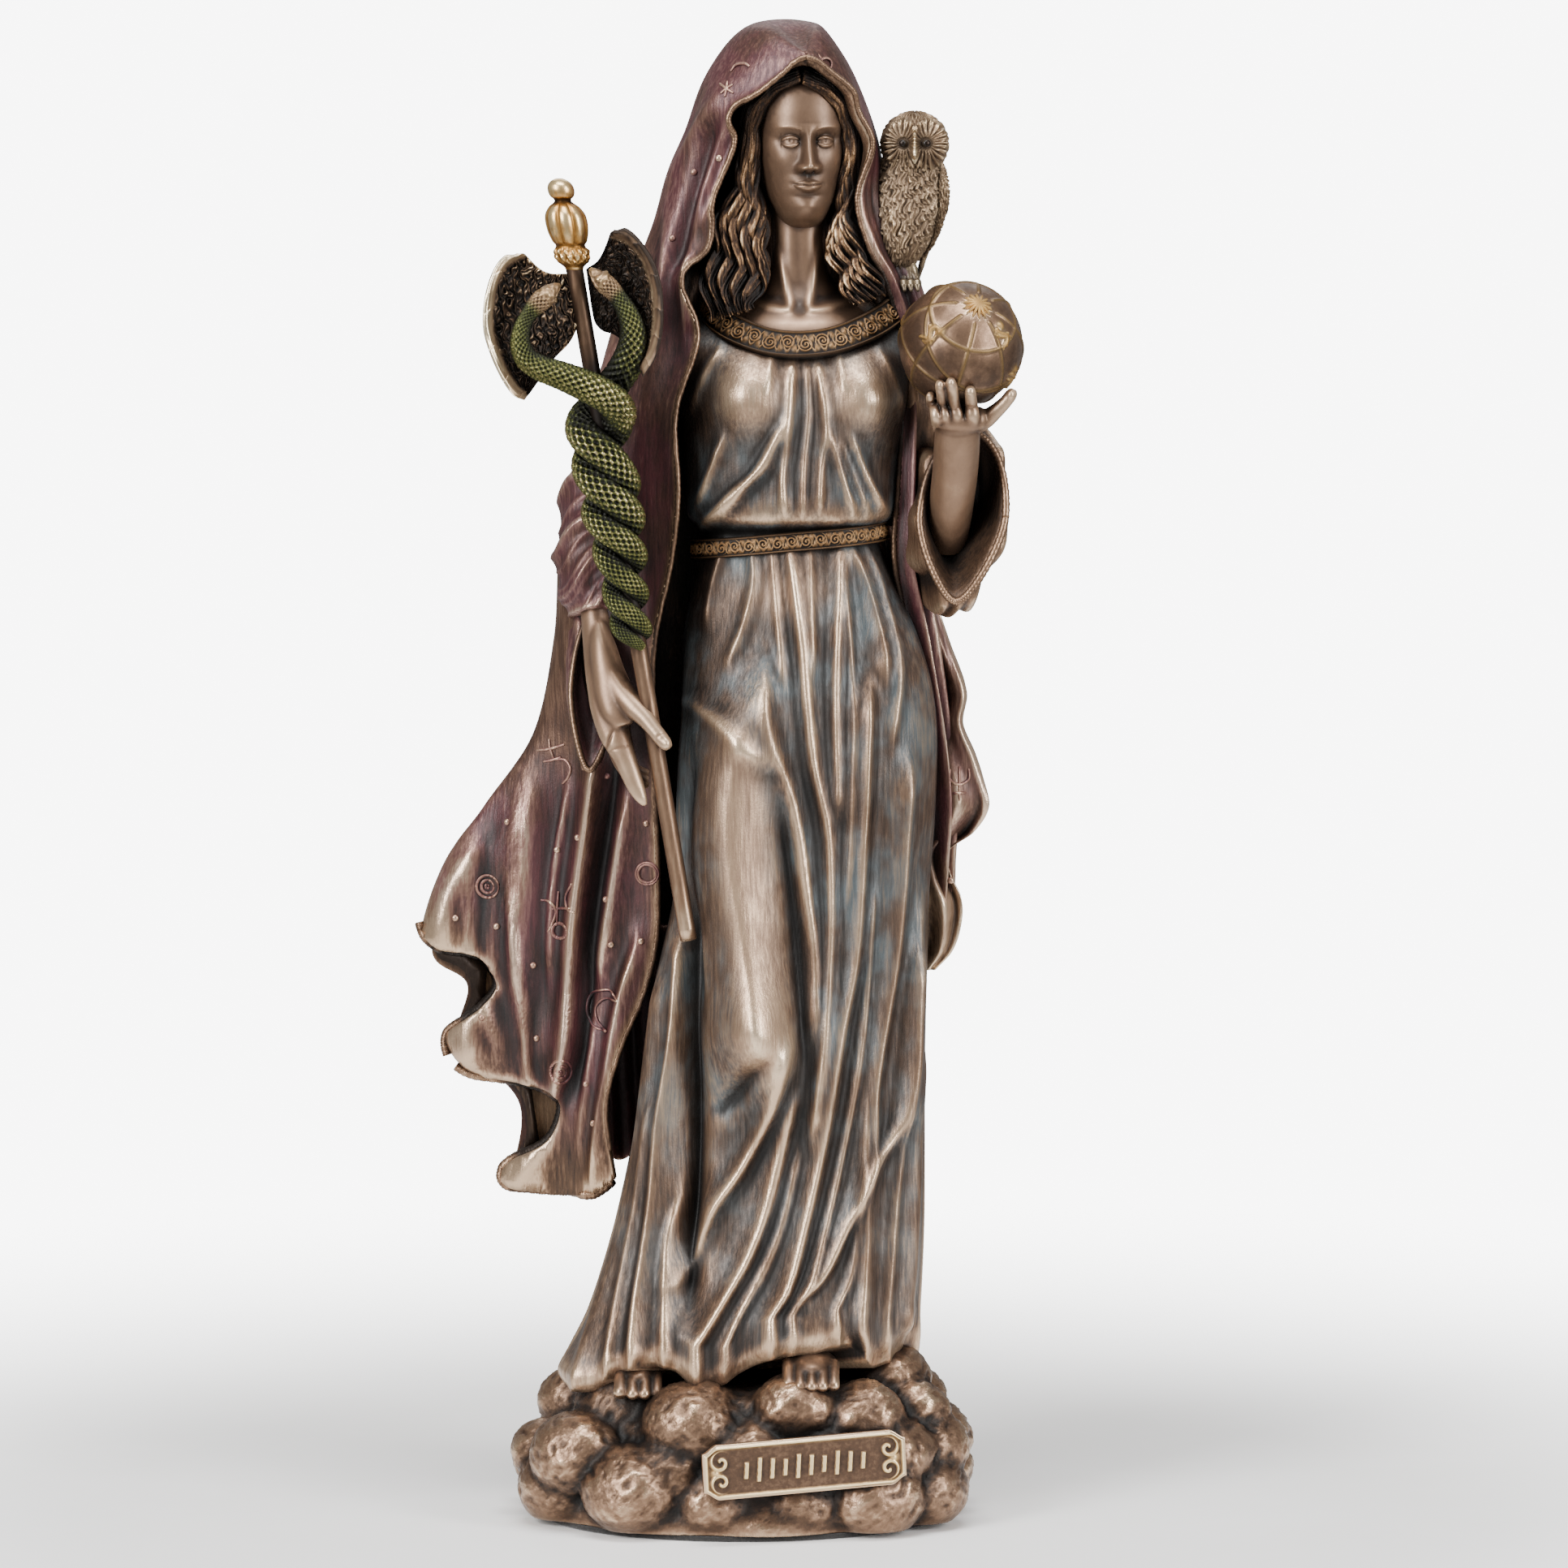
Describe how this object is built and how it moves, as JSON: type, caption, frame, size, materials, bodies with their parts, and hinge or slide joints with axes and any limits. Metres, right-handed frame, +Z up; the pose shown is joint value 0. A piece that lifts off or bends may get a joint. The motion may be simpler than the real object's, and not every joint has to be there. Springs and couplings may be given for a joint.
{
  "type": "goddess statue",
  "caption": "Bronze-finish statue of a veiled goddess on a cloud base, holding a winged staff with coiled snakes and a globe, an owl on her shoulder.",
  "frame": {"origin": "centre of the base on its underside", "axes": "+Z up, -Y towards the viewer of the front, +X towards the viewer's right"},
  "size_m": [0.1137, 0.0704, 0.2846],
  "materials": {
    "bronze": "cold-cast bronze resin with a brown patina and rubbed ridges",
    "green_bronze": "cold-cast bronze resin, snakes washed in green",
    "dark_bronze": "cold-cast bronze resin with dark patina",
    "globe_bronze": "cold-cast bronze resin, rubbed bright",
    "gilt": "brown plate with gilt rim and strokes",
    "felt": "black felt"
  },
  "bodies": {
    "root": {"goddess": "bronze", "caduceus": "green_bronze", "owl": "dark_bronze", "globe": "globe_bronze", "nameplate": "gilt", "felt_pad": "felt"}
  },
  "joints": []
}
